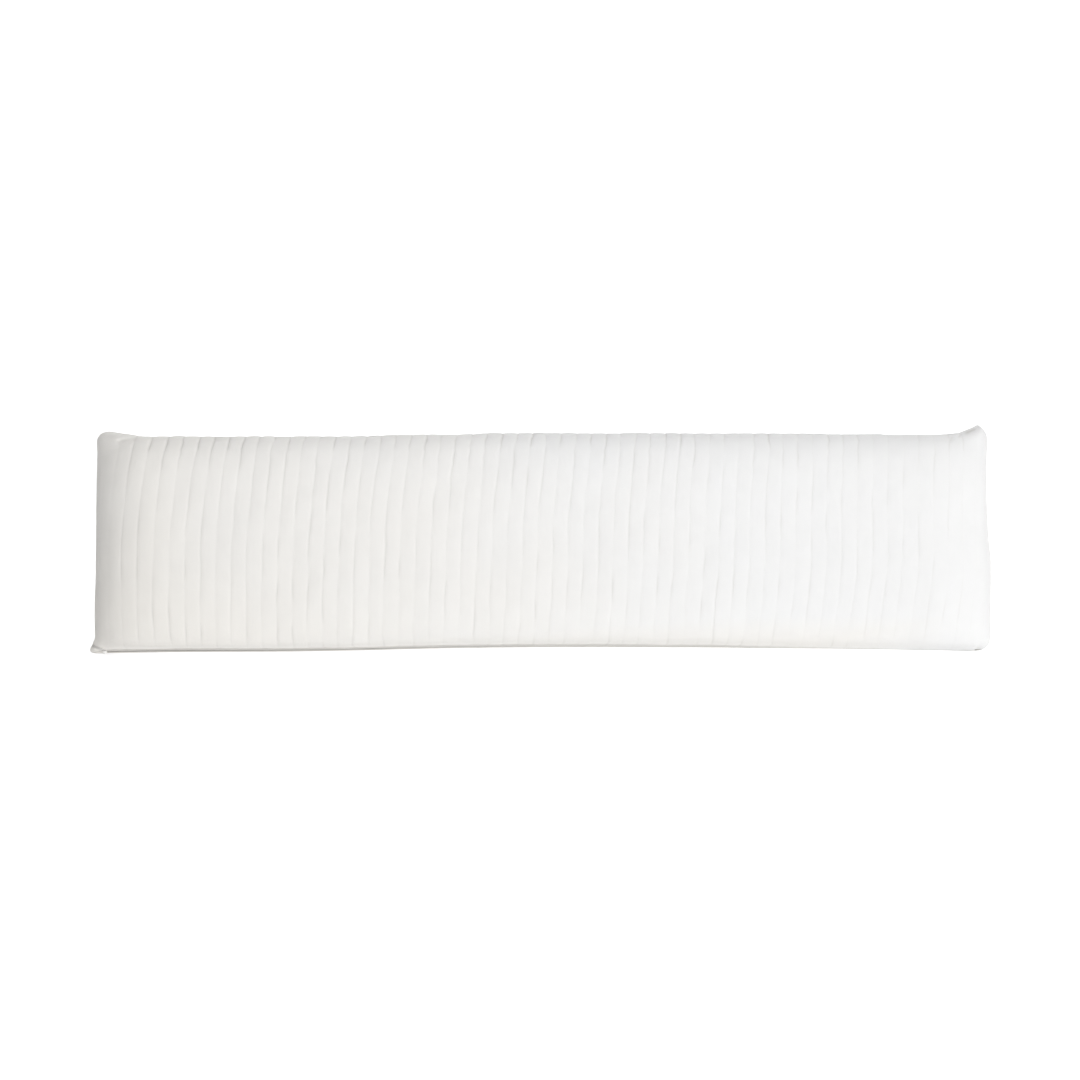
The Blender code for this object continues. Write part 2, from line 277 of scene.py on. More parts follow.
def sectionRows(upperCount, lowerCount, slotRows, closer=0.0):
    # rows round the section from the zip over the face and back underneath, and closer at its turns
    halves = []
    turn = np.linspace(0.0, 1.0, rowSpacing["samples"]) ** 2 * pi / 4
    turn = np.concatenate((turn, pi / 2 - turn[-2::-1]))
    turn = np.concatenate((turn, pi - turn[-2::-1]))
    heightUp = sleeve["thickness"] - sleeve["seamHeight"]
    farAt, farReach = rowSpacing["farTurn"]
    nearAt, nearReach = rowSpacing["nearTurn"]
    start = 0.0
    for upper, count in ((True, upperCount), (False, lowerCount)):
        power = np.where((turn < pi / 2) == upper, 2 / sleeve["sidePower"], 2 / sleeve["farSidePower"])
        side = -signedPower(np.cos(turn), power) if upper else signedPower(np.cos(turn), power)
        lift = np.abs(np.sin(turn)) ** power
        hanging = sleeve["seamHeight"] * np.minimum(1, sleeve["floorPress"] * lift)
        shown = heightUp * lift if upper else hanging
        steps = np.hypot(np.diff(side) * sleeve["width"] / 2, np.diff(shown))
        distance = np.concatenate(([0.0], np.cumsum(steps)))
        weight = 1 + closer * np.exp(-((distance - farAt * distance[-1]) / farReach) ** 2) * upper
        weight = weight + closer * np.exp(-((distance - nearAt) / nearReach) ** 2) * upper
        crowd = np.concatenate(([0.0], np.cumsum(steps * (weight[1:] + weight[:-1]) / 2)))
        wanted = np.interp(np.linspace(0.0, crowd[-1], count + 2)[1:-1], crowd, distance)
        halves.append({
            "side": np.interp(wanted, distance, side),
            "lift": np.interp(wanted, distance, lift),
            "upper": np.full(count, upper),
            "up": np.zeros(count),
            "inset": np.zeros(count),
            "around": start + wanted,
            "nearest": np.minimum(wanted, distance[-1] - wanted),
        })
        start += distance[-1]
    perimeter = start
    # rows that would crowd the slot give way to the slot's own
    reach = max((abs(row["up"]) for row in slotRows), default=0.0) + rowSpacing["clearOfSlot"]
    rows = {}
    for key in halves[0]:
        rows[key] = np.concatenate((halves[0][key], halves[1][key]))
    clear = (rows["around"] > reach) & (rows["around"] < perimeter - reach)
    rows = {key: values[clear] for key, values in rows.items()}
    above = [row for row in slotRows if row["up"] >= 0]
    below = [row for row in slotRows if row["up"] < 0]
    for group, first in ((above, True), (below, False)):
        lifts = np.array([abs(row["up"]) for row in group])
        extra = {
            "side": np.full(len(group), -1.0),
            "lift": np.zeros(len(group)),
            "upper": np.full(len(group), first),
            "up": np.array([row["up"] for row in group]),
            "inset": np.array([row["inset"] for row in group]),
            "around": lifts if first else perimeter - lifts,
            "nearest": lifts,
        }
        for key in rows:
            rows[key] = np.concatenate((extra[key], rows[key]) if first else (rows[key], extra[key]))
    rows["slot"] = np.zeros(len(rows["side"]), dtype=bool)
    rows["slot"][:len(above)] = True
    rows["slot"][len(rows["slot"]) - len(below):] = len(below) > 0
    rows["perimeter"] = perimeter
    return rows


def earPull(place, ear):
    cornerX = ear["end"] * (sleeve["length"] / 2 - ear["in"][0])
    cornerY = middleY(cornerX) + ear["side"] * (sleeve["width"] / 2 - ear["in"][1])
    along = (place[..., 0] - cornerX) / ear["reach"][0]
    across = (place[..., 1] - cornerY) / ear["reach"][1]
    up = (place[..., 2] - sleeve["seamHeight"]) / (sleeve["thickness"] / 2)
    share = np.clip(1 - np.sqrt(along ** 2 + across ** 2 + up ** 2), 0, 1)
    return np.array(ear["pull"]) * share[..., None] ** earPower


def slotShare(x):
    start = smooth((x - zipSlot["start"]) / zipSlot["runIn"] + 1)
    return start * smooth((zipSlot["end"] - x) / zipSlot["runIn"] + 1)


def eased(x, name):
    # a size of the slot that changes along the pillow
    return np.interp(x, zipSlot["places"], zipSlot[name])


def wallSetIn(x, height):
    low, high = zipSlot["wallTop"]
    ends = smooth((sleeve["length"] / 2 - np.abs(x)) / zipSlot["endFade"])
    return eased(x, "wallSetIn") * ends * (1 - smooth((height - low) / (high - low)))


def sleeveForm(clothAt, rows):
    # the smooth filled sleeve, before sewing: an array of columns by rows by xyz
    side = rows["side"][None, :]
    lift = rows["lift"][None, :]
    x = xOfCloth(clothAt + lineLean(clothAt, side))
    share = endShare(sleeve["length"] / 2 - np.abs(x))
    edge = sleeve["endSeamThickness"] / 2
    top = sleeve["seamHeight"] + (edge + (crownHeight(x) - edge) * share) * lift
    fall = (edge + (sleeve["seamHeight"] - edge) * share) * np.minimum(1, sleeve["floorPress"] * lift)
    bottom = sleeve["seamHeight"] - fall
    bottom = np.where(share * sleeve["floorPress"] * lift > 1, 0.0, bottom)
    z = np.where(rows["upper"][None, :], top, bottom)
    y = middleY(x) + halfWidth(x) * side
    openHere = slotShare(x)
    zipSide = (rows["upper"] & (rows["side"] < 0))[None, :]
    setIn = wallSetIn(x, z - sleeve["seamHeight"])
    lip = eased(x, "lipSetback") * openHere
    reach, turnOver = zipSlot["lipReach"]
    beyondLip = smooth((rows["nearest"] - reach) / turnOver)[None, :]
    y = y + np.where(zipSide, lip + (setIn - lip) * beyondLip, 0.0)
    inset = rows["inset"][None, :]
    toBed = np.where(zipSide & (inset > 0), 1 - lip / zipSlot["depth"], 1.0)
    y = y + inset * toBed * openHere
    slotZ = sleeve["seamHeight"] + rows["up"][None, :] * np.minimum(1, share + zipSlot["leastShare"])
    z = np.where(rows["slot"][None, :], slotZ, z)
    bulgeAt, bulge, bulgeReach = sleeve["endBulge"]
    swollen = bulge * np.exp(-((side - bulgeAt) / bulgeReach) ** 2) - sleeve["endLean"] * side
    x = x + swollen * smooth((x - sleeve["endSwellFrom"]) / (sleeve["length"] / 2)) * (x > 0)
    place = np.stack((x, y, z), axis=-1)
    for ear in ears:
        place = place + earPull(place, ear)
    place[..., 0] -= sleeve["boxMiddle"][0]
    place[..., 1] -= sleeve["boxMiddle"][1]
    return place


def gridNormals(place):
    along = np.gradient(place, axis=0)
    around = np.gradient(place, axis=1)
    normal = np.cross(along, around)
    length = np.linalg.norm(normal, axis=-1, keepdims=True)
    return normal / np.maximum(length, 1e-12)


def foldRelief(place):
    # how far the single creases raise or sink the cloth, straight up or down, and how much painted shade they
    # get
    relief = np.zeros(place.shape[:2])
    shade = np.zeros(place.shape[:2])
    for fold in folds:
        start = np.array(fold["from"])
        line = np.array(fold["to"]) - start
        length = np.hypot(*line)
        offset = place[..., :2] - start
        share = offset @ line / length ** 2
        beside = (offset[..., 0] * line[1] - offset[..., 1] * line[0]) / length
        fade = smooth(share / foldEnds["fade"]) * smooth((1 - share) / foldEnds["fade"])
        strength = fade * np.exp(-(beside / fold["width"]) ** 2)
        relief += fold["height"] * strength
        shade = np.maximum(shade, fold["shade"] * strength ** 2)
    low, reach = foldEnds["above"]
    upper = smooth((place[..., 2] - low) / reach)
    return relief * upper, shade * upper


def stitchColumns(phases):
    # cloth distances of the columns, and their phase in the channel: 0 is a stitch line
    pitch = quilting["pitch"]
    count = int(2 * halfCloth / pitch) + 2
    places = np.array([quilting["middleLineAt"] + (line + phase) * pitch
                       for line in range(-count, count + 1) for phase in phases])
    phase = np.tile(phases, 2 * count + 1)
    startStretch, endStretch = quilting["endStretch"]
    stretchFrom, reach = quilting["stretchFrom"]
    outward = np.where(places < 0, -startStretch, endStretch)
    drift, crest, wave = quilting["drift"]
    swell = drift * np.cos(2 * pi * (places - crest) / wave)
    places = places + outward * smooth((np.abs(places) - stretchFrom) / reach) + swell
    inside = np.abs(places) < halfCloth - 0.3 * min(np.diff(phases)) * pitch
    places = np.concatenate(([-halfCloth], places[inside], [halfCloth]))
    return places, np.concatenate(([0.5], phase[inside], [0.5]))


def meshFromGrid(name, place):
    # a closed skin over columns of rings, with both ends filled
    columns, rings = place.shape[:2]
    index = np.arange(columns * rings).reshape(columns, rings)
    beside = np.roll(index, -1, axis=1)
    quads = np.stack((index[:-1], beside[:-1], beside[1:], index[1:]), axis=-1).reshape(-1, 4)
    faces = quads.tolist() + [index[0][::-1].tolist(), index[-1].tolist()]
    mesh = bpy.data.meshes.new(name)
    mesh.from_pydata(place.reshape(-1, 3).tolist(), [], faces)
    mesh.update()
    thing = bpy.data.objects.new(name, mesh)
    bpy.context.scene.collection.objects.link(thing)
    return thing


def closeUp(thing):
    # ends are cut into triangles, and all faces point out
    work = bmesh.new()
    work.from_mesh(thing.data)
    bmesh.ops.triangulate(work, faces=[face for face in work.faces if len(face.verts) > 4])
    bmesh.ops.recalc_face_normals(work, faces=work.faces)
    work.to_mesh(thing.data)
    work.free()
    thing.data.shade_smooth()


# The foam's push from inside, simulated on a coarse copy of the sleeve.
filling = {
    "columnPhases": (0.0, 0.2, 0.5, 0.8),
    "upperRows": 66,
    "lowerRows": 26,
    "startInset": 0.0009,  # the copy starts this much smaller and swells
    "pressure": 10.0,
    "spareCloth": 0.0012,
    "frames": 20,
    "most": 0.0034,  # no point moves further than this
    "share": 0.6,
    "tightness": (0.75, 0.5),  # of the stitch lines, on average, and how far it varies
    "leastTight": 0.25,
    "heldNear": (0.004, 0.006, 0.004),  # the cloth is held this near to an end seam, the zip and the floor
    "levels": 20,
}


def blendRows(values, fromAround, toAround, perimeter):
    # linear blend round the section, which closes on itself
    fromAround = np.concatenate(([fromAround[-1] - perimeter], fromAround, [fromAround[0] + perimeter]))
    values = np.concatenate((values[:, -1:], values, values[:, :1]), axis=1)
    return np.stack([np.stack([np.interp(toAround, fromAround, values[column, :, axis])
                               for axis in range(3)], axis=-1) for column in range(len(values))])


def blendColumns(values, fromAlong, toAlong):
    return np.stack([np.stack([np.interp(toAlong, fromAlong, values[:, row, axis])
                               for axis in range(3)], axis=-1) for row in range(values.shape[1])], axis=1)


def fillSleeve():
    # how far the filling moves the cloth, on the coarse grid
    rows = sectionRows(filling["upperRows"], filling["lowerRows"], ())
    clothAt, phase = stitchColumns(filling["columnPhases"])
    around = rows["around"]
    place = sleeveForm(clothAt[:, None], rows)
    normal = gridNormals(place)
    place = place - normal * filling["startInset"]
    shell = meshFromGrid("fillingShell", place)
    closeUp(shell)
    held = shell.vertex_groups.new(name="held")
    average, variation = filling["tightness"]
    byEnd, byZip, byFloor = filling["heldNear"]
    tight = average + variation * uneven("held", clothAt, around)
    tight = np.where((phase == 0)[:, None], np.clip(tight, filling["leastTight"], 1.0), 0.0)
    tight = np.maximum(tight, (halfCloth - np.abs(clothAt) < byEnd)[:, None] * 1.0)
    tight = np.maximum(tight, ((rows["side"] < 0) & (rows["nearest"] < byZip))[None, :] * 1.0)
    tight = np.maximum(tight, (place[..., 2] < byFloor) * 1.0)
    tight = tight.ravel()
    levels = filling["levels"]
    for level in range(1, levels + 1):
        members = np.flatnonzero(np.round(tight * levels) == level).tolist()
        held.add(members, level / levels, "REPLACE")
    cloth = shell.modifiers.new("filling", "CLOTH")
    cloth.settings.vertex_group_mass = "held"
    cloth.settings.pin_stiffness = 1.0
    cloth.settings.mass = 0.3
    cloth.settings.quality = 4
    cloth.settings.tension_stiffness = 15
    cloth.settings.compression_stiffness = 15
    cloth.settings.shear_stiffness = 5
    cloth.settings.bending_stiffness = 12
    cloth.settings.use_pressure = True
    cloth.settings.uniform_pressure_force = filling["pressure"]
    cloth.settings.shrink_min = -filling["spareCloth"]
    cloth.settings.effector_weights.gravity = 0
    cloth.collision_settings.use_collision = False
    cloth.collision_settings.use_self_collision = False
    scene = bpy.context.scene
    scene.frame_start = 1
    scene.frame_end = filling["frames"]
    cloth.point_cache.frame_start = 1
    cloth.point_cache.frame_end = filling["frames"]
    for frameNumber in range(1, filling["frames"] + 1):
        scene.frame_set(frameNumber)
    filled = shell.evaluated_get(bpy.context.evaluated_depsgraph_get()).data
    swollen = np.zeros(place.size, dtype=np.float32)
    filled.vertices.foreach_get("co", swollen)
    move = swollen.reshape(place.shape) - place
    bpy.data.objects.remove(shell)
    scene.frame_set(1)
    far = np.linalg.norm(move, axis=-1, keepdims=True)
    move = move * np.minimum(1, filling["most"] / np.maximum(far, 1e-9))
    return clothAt, rows, move


coverGrid = {
    "upperRows": 170,
    "lowerRows": 40,
    "closer": 2.2,
    "slotRows": (  # the slot's own rows from its middle up: height above the zip, and depth
        (0.0, 0.0034),
        (0.0015, 0.0034),
        (0.0021, 0.0032),
        (0.0024, 0.0018),
        (0.0026, 0.0003),
        (0.0032, -0.0003),
        (0.0044, -0.0002),
    ),
}


def makeCover():
    upperHalf = tuple({"up": up, "inset": inset} for up, inset in coverGrid["slotRows"])
    lowerHalf = tuple({"up": -row["up"], "inset": row["inset"]} for row in upperHalf[:0:-1])
    rows = sectionRows(coverGrid["upperRows"], coverGrid["lowerRows"], upperHalf + lowerHalf,
                       closer=coverGrid["closer"])
    clothAt, phase = stitchColumns(quilting["columnPhases"])
    around = rows["around"]
    print("cover grid:", len(clothAt), "columns of", len(around), "rows")
    wander = uneven("lineWander", clothAt, around) * quilting["wander"]
    farSide, farReach = quilting["farSideFrom"]
    byFarSide = smooth((rows["side"] - farSide) / farReach) * rows["upper"]
    jitter = quilting["jitter"] + (quilting["farJitter"] - quilting["jitter"]) * byFarSide
    wander = wander + uneven("lineJitter", clothAt, around) * jitter[None, :]
    drift = uneven("broadWander", clothAt, around) * quilting["wander"]
    byEnd, byZip = quilting["trueNear"]
    free = smooth((halfCloth - np.abs(clothAt)) / byEnd)[:, None] * smooth(rows["nearest"] / byZip)[None, :]
    place = sleeveForm(clothAt[:, None] + (wander + drift) * free, rows)
    fromCloth, fromRows, move = fillSleeve()
    move = blendRows(move, fromRows["around"], around, rows["perimeter"])
    move = blendColumns(move, fromCloth, clothAt) * filling["share"]
    for turn in range(2):
        move[:, 1:-1] = (move[:, :-2] + 2 * move[:, 1:-1] + move[:, 2:]) / 4
        move[1:-1] = (move[:-2] + 2 * move[1:-1] + move[2:]) / 4
    place = place + move * np.where(rows["slot"], 0.0, 1.0)[None, :, None]
    print("filling: the cloth has moved up to", round(float(np.abs(move).max()) * 1000, 2), "mm")
    normal = gridNormals(place)

    toLine = np.minimum(phase, 1 - phase)[:, None] * quilting["pitch"]
    fromEnd = halfCloth - np.abs(clothAt)[:, None]
    faceFrom, faceReach = quilting["faceFrom"]
    onFace = smooth((fromEnd - faceFrom) / faceReach)
    depth = quilting["endDepth"] + (quilting["depth"] - quilting["endDepth"]) * onFace
    strength = 1 + quilting["puffVariation"] * uneven("puff", clothAt, around)
    notchSide, sideReach = quilting["notchSide"]
    notchLift, liftReach = quilting["notchLift"]
    average, variation = quilting["notchStrength"]
    notch = smooth((rows["side"] - notchSide) / sideReach)
    notch = notch * smooth((rows["lift"] - notchLift) / liftReach) * rows["upper"]
    notch = notch[None, :] * (average + variation * uneven("notch", clothAt, around))
    towardsStart = np.interp(clothAt, quilting["notchPlaces"], quilting["notchShares"])[:, None] * onFace
    depth = depth + quilting["notchDepth"] * notch * towardsStart
    puff = -depth * strength * np.abs(2 * phase[:, None] - 1) ** quilting["puffPower"]
    groove = -quilting["grooveDepth"] * np.exp(-(toLine / quilting["grooveWidth"]) ** 2)
    average, variation = quilting["tightness"]
    tightness = average + variation * uneven("tightness", clothAt, around)
    tightness = tightness + quilting["notchTightness"] * notch * towardsStart
    tightness = np.clip(tightness, *quilting["tightnessLimits"])
    fading = np.interp(clothAt, quilting["fadingPlaces"], quilting["fadingShares"])[:, None]
    gain, gainFrom, gainReach = quilting["farSideGain"]
    fading = fading * (1 + gain * smooth((rows["side"] - gainFrom) / gainReach) * rows["upper"])[None, :]
    endShow = quilting["endGrooveShare"]
    groove = groove * tightness * fading * (endShow + (1 - endShow) * onFace)
    puff = puff * fading
    pucker = uneven("pucker", clothAt, around)
    pucker = pucker * quilting["puckerHeight"] * np.exp(-toLine / quilting["puckerReach"])
    wide, small = quilting["swells"]
    swell = wide * uneven("wideSwell", clothAt, around) + small * uneven("smallSwell", clothAt, around)
    sewingFrom, sewingReach = zipSlot["sewingFrom"]
    fromZip = smooth((rows["nearest"] - sewingFrom) / sewingReach)
    fromZip = np.where(rows["side"] < 0, fromZip, 1.0)[None, :]
    dentAt, dentDepth, dentWidth = zipSlot["seamDent"]
    dent = np.exp(-((rows["nearest"] - dentAt) / dentWidth) ** 2) * (rows["upper"] & (rows["side"] < 0))
    alongDent = np.interp(clothAt, zipSlot["dentPlaces"], zipSlot["dentShares"])
    dent = dent[None, :] * alongDent[:, None] * dentDepth
    relief = (puff + groove + pucker + swell - quilting["sink"]) * fromZip - dent
    relief = relief * np.where(rows["slot"], 0.0, 1.0)[None, :]
    place = place + normal * relief[..., None]
    foldLift, foldShade = foldRelief(place)
    place[..., 2] += foldLift
    drawn, drawnReach = quilting["drawnIn"]
    place[..., 0] -= np.sign(clothAt)[:, None] * drawn * np.clip(1 - fromEnd / drawnReach, 0, 1) ** 2
    place[..., 2] = np.maximum(place[..., 2], 0.0)
    cover = meshFromGrid("quiltedCover", place)
    # painted shade: the stitch grooves, the slot's rows and the tight folds are coloured darker
    darkest, darkPower = quilting["creaseShade"]
    paintedGrooveShade = np.clip(groove / -quilting["grooveDepth"], 0, 1) ** darkPower * darkest
    paintedGrooveShade = np.where(rows["slot"][None, :], quilting["slotShade"], np.maximum(paintedGrooveShade, foldShade))
    paintedShadeMap = cover.data.attributes.new("paintedGrooveShade", "FLOAT", "POINT")
    paintedShadeMap.data.foreach_set("value", paintedGrooveShade.ravel().astype(np.float32))
    uvMap = cover.data.uv_layers.new(name="cloth")
    loopVertex = np.zeros(len(cover.data.loops), dtype=np.int32)
    cover.data.loops.foreach_get("vertex_index", loopVertex)
    cloth = np.stack(np.broadcast_arrays(clothAt[:, None], around[None, :]), axis=-1).reshape(-1, 2)
    uvMap.data.foreach_set("uv", cloth[loopVertex].ravel().astype(np.float32))
    closeUp(cover)
    return cover, place, gridNormals(place), clothAt, phase, rows


cover, coverPlace, coverNormal, clothAt, phase, rows = makeCover()
print("cover:", len(cover.data.polygons), "faces")


# Thread of the stitch lines and of the seams beside the zip.
sewing = {
    "stitch": 0.0046,
    "threadRadius": 0.00019,
    "stitchShare": 0.74,  # how much of each stitch lies on top of the cloth
    "sunk": 0.00030,
    "proud": 0.00012,
    "besideZip": 0.0062,
    "zipStitch": 0.0034,
    "clearOfEnd": 0.012,  # no stitch line lies nearer to an end seam
    "clearOfTack": 0.002,
    "step": 0.0005,  # half the stretch of path that gives a stitch its direction
}


def readAlong(at, distance, values):
    # values at distances along a path
    return np.stack([np.interp(at, distance, values[:, axis]) for axis in range(3)], axis=-1)


def threadAlong(points, normals, stitch):
    # short thread loops along a path: arrays of corners and of triangles
    steps = np.linalg.norm(np.diff(points, axis=0), axis=1)
    distance = np.concatenate(([0.0], np.cumsum(steps)))
    count = int(distance[-1] / stitch)
    starts = (np.arange(count) + 0.5 * (1 - sewing["stitchShare"])) * stitch
    corners = []
    for share, lift in ((0.0, -sewing["sunk"]), (0.5, sewing["proud"]), (1.0, -sewing["sunk"])):
        at = starts + share * sewing["stitchShare"] * stitch
        middle = readAlong(at, distance, points)
        up = readAlong(at, distance, normals)
        along = readAlong(at + sewing["step"], distance, points)
        along = along - readAlong(at - sewing["step"], distance, points)
        along = along / np.maximum(np.linalg.norm(along, axis=1, keepdims=True), 1e-9)
        beside = np.cross(along, up)
        middle = middle + up * lift
        for corner in range(3):
            turn = pi / 2 + corner * 2 * pi / 3
            corners.append(middle + sewing["threadRadius"] * (up * sin(turn) + beside * cos(turn)))
    corners = np.stack(corners, axis=1)
    faces = [(0, 2, 1), (6, 7, 8)]
    for ring in (0, 3):
        for corner in range(3):
            following = (corner + 1) % 3
            faces.append((ring + corner, ring + following, ring + 3 + following))
            faces.append((ring + corner, ring + 3 + following, ring + 3 + corner))
    faces = np.array(faces)[None] + 9 * np.arange(count)[:, None, None]
    return corners.reshape(-1, 3), faces.reshape(-1, 3)


def makeStitches():
    pieces = []
    around = rows["around"]
    ring = np.arange(len(around))
    offSlot = ring[~rows["slot"]]
    for column in np.flatnonzero(phase == 0):
        if halfCloth - abs(clothAt[column]) > sewing["clearOfEnd"]:
            path = coverPlace[column][offSlot]
            pieces.append(threadAlong(path, coverNormal[column][offSlot], sewing["stitch"]))
    for besideZip in (sewing["besideZip"], rows["perimeter"] - sewing["besideZip"]):
        position = np.interp(besideZip, around, ring)
        low = int(position)
        share = position - low
        points = coverPlace[:, low] * (1 - share) + coverPlace[:, low + 1] * share
        normals = coverNormal[:, low] * (1 - share) + coverNormal[:, low + 1] * share
        clear = sewing["clearOfTack"]
        inside = (points[:, 0] > zipLow[0] + clear) & (points[:, 0] < zipHigh[0] - clear)
        pieces.append(threadAlong(points[inside], normals[inside], sewing["zipStitch"]))
    corners = np.concatenate([piece[0] for piece in pieces])
    corners[:, 2] = np.maximum(corners[:, 2], 0.0)
    starts = np.cumsum([0] + [len(piece[0]) for piece in pieces[:-1]])
    faces = np.concatenate([piece[1] + start for piece, start in zip(pieces, starts)])
    mesh = bpy.data.meshes.new("stitchThreads")
    mesh.from_pydata(corners.tolist(), [], faces.tolist())
    mesh.update()
    threads = bpy.data.objects.new("stitchThreads", mesh)
    bpy.context.scene.collection.objects.link(threads)
    closeUp(threads)
    return threads


stitchThreads = makeStitches()
print("stitches:", len(stitchThreads.data.polygons), "faces")


# The closed zip: two rows of coil turns on a woven tape, in the slot of the long side.
zipper = {
    "coilPitch": 0.0019,
    "coilTurn": (0.00062, 0.00048, 0.00100),  # half sizes of one turn
    "rowShift": 0.00062,  # each row lies this far above or below the middle
    "standOut": 0.0009,  # from the bed of the slot
    "coilFromBed": 0.0004,
    "coilInset": (0.001, 0.003),  # at its start, and in all
    "turnSlant": 0.32,
    "tapeFromBed": 0.0003,
    "tapeInset": 0.001,
    "tapeHeight": 0.0041,
    "tapeThickness": 0.0004,
    "tapeSteps": 260,
    "tackDepth": 0.0034,  # half of what a bar tack spans from the lower lip to the wall
    "tackHeight": 0.0042,
    "tackThread": 0.00050,  # one turn of a bar tack
    "tackTurn": 0.62,  # half size of a turn along the zip, as a share of its thread
    "tackSlant": 0.05,
    "tackCore": 0.93,  # size of the core inside the turns
    "tackOut": 0.0006,  # how far a tack stands out of the slot
    "startTackFrom": -0.0036,  # the tacks' middles, from the ends of the coil
    "startTackWidth": 0.0060,
    "endTackFrom": 0.0034,
    "endTackWidth": 0.0026,
    "tail": (0.0120, 0.0026, 0.0030),  # the end of the tape, folded back past the end tack; its dark colour is also painted shade at the slot's end
    "tailTip": (0.55, 0.6),  # its tip is this much flatter
    "tailFromBed": 0.0001,
    "tailEdge": 0.0005,
    "tailCuts": 3,
}


def zipLine(x):
    # y and z of the slot's mouth at a place along the pillow
    rawX = x + sleeve["boxMiddle"][0]
    y = middleY(rawX) - halfWidth(rawX)
    place = np.stack((rawX, y, np.full_like(y, sleeve["seamHeight"])), axis=-1)
    for ear in ears:
        place = place + earPull(place, ear)
    return place[..., 1] - sleeve["boxMiddle"][1], place[..., 2]


def layAlongZip(thing):
    # a straight strip, modelled about y = 0 and z = 0, takes the line of the slot
    corners = np.zeros(len(thing.data.vertices) * 3, dtype=np.float32)
    thing.data.vertices.foreach_get("co", corners)
    corners = corners.reshape(-1, 3).astype(float)
    y, z = zipLine(corners[:, 0])
    corners[:, 1] += y
    corners[:, 2] += z
    thing.data.vertices.foreach_set("co", corners.ravel().astype(np.float32))
    thing.data.update()


def applyPlace(thing):
    bpy.ops.object.select_all(action="DESELECT")
    thing.select_set(True)
    bpy.context.view_layer.objects.active = thing
    bpy.ops.object.transform_apply(location=True, rotation=True, scale=True)


def makeCoil():
    bpy.ops.object.select_all(action="DESELECT")
    half = zipper["coilTurn"]
    bed = zipSlot["depth"] - zipper["coilFromBed"]
    atStart, inAll = zipper["coilInset"]
    start = zipLow[0] + atStart
    count = int((zipHigh[0] - zipLow[0] - inAll) / zipper["coilPitch"])
    coilRows = []
    for row, side in enumerate((-1, 1)):
        bpy.ops.mesh.primitive_uv_sphere_add(segments=8, ring_count=5, radius=1)
        turn = bpy.context.object
        turn.scale = half
        turn.rotation_euler = (0, zipper["turnSlant"] * side, 0)
        at = start + 0.5 * row * zipper["coilPitch"]
        turn.location = (at, bed - zipper["standOut"], side * zipper["rowShift"])
        applyPlace(turn)
        array = turn.modifiers.new("turns", "ARRAY")
        array.use_relative_offset = False
        array.use_constant_offset = True
        array.constant_offset_displace = (zipper["coilPitch"], 0, 0)
        array.count = count
        bpy.ops.object.modifier_apply(modifier="turns")
        coilRows.append(turn)
    coilRows[0].select_set(True)
    bpy.ops.object.join()
    coil = bpy.context.object
    coil.name = "zipCoilTurns"
    bpy.ops.object.shade_smooth()
    layAlongZip(coil)
    return coil


def makeTape():
    bpy.ops.object.select_all(action="DESELECT")
    bpy.ops.mesh.primitive_cube_add(size=1)
    tape = bpy.context.object
    tape.name = "zipTape"
    length = zipHigh[0] - zipLow[0] - zipper["tapeInset"]
    tape.scale = (length, zipper["tapeThickness"], zipper["tapeHeight"])
    tape.location = ((zipLow[0] + zipHigh[0]) / 2, zipSlot["depth"] - zipper["tapeFromBed"], 0)
    applyPlace(tape)
    bpy.ops.object.mode_set(mode="EDIT")
    bpy.ops.mesh.select_mode(type="EDGE")
    bpy.ops.mesh.select_all(action="DESELECT")
    work = bmesh.from_edit_mesh(tape.data)
    for edge in work.edges:
        edge.select_set(abs(edge.verts[0].co.x - edge.verts[1].co.x) > length / 2)
    bmesh.update_edit_mesh(tape.data)
    bpy.ops.mesh.subdivide(number_cuts=zipper["tapeSteps"])
    bpy.ops.object.mode_set(mode="OBJECT")
    layAlongZip(tape)
    return tape


def makeTack(name, x, width):
    # a short bar of close thread turns round a core, which ends the zip
    bpy.ops.object.select_all(action="DESELECT")
    depth, high = zipper["tackDepth"], zipper["tackHeight"]
    bpy.ops.mesh.primitive_cylinder_add(vertices=24, radius=1, depth=width, rotation=(0, pi / 2, 0))
    core = bpy.context.object
    core.scale = (zipper["tackCore"] * high, zipper["tackCore"] * depth, 1)
    core.location = (x, depth - zipper["tackOut"], 0)
    applyPlace(core)
    turns = [core]
    count = round(width / zipper["tackThread"])
    for number in range(count):
        share = (number + 0.5) / count - 0.5
        bpy.ops.mesh.primitive_uv_sphere_add(segments=8, ring_count=8, radius=1)
        turn = bpy.context.object
        turn.scale = (zipper["tackTurn"] * zipper["tackThread"], depth, high)
        turn.rotation_euler = (0, zipper["tackSlant"] * (-1) ** number, 0)
        turn.location = (x + share * width, depth - zipper["tackOut"], 0)
        applyPlace(turn)
        turns.append(turn)
    for turn in turns:
        turn.select_set(True)
    bpy.ops.object.join()
    tack = bpy.context.object
    tack.name = name
    bpy.ops.object.shade_smooth()
    layAlongZip(tack)
    return tack


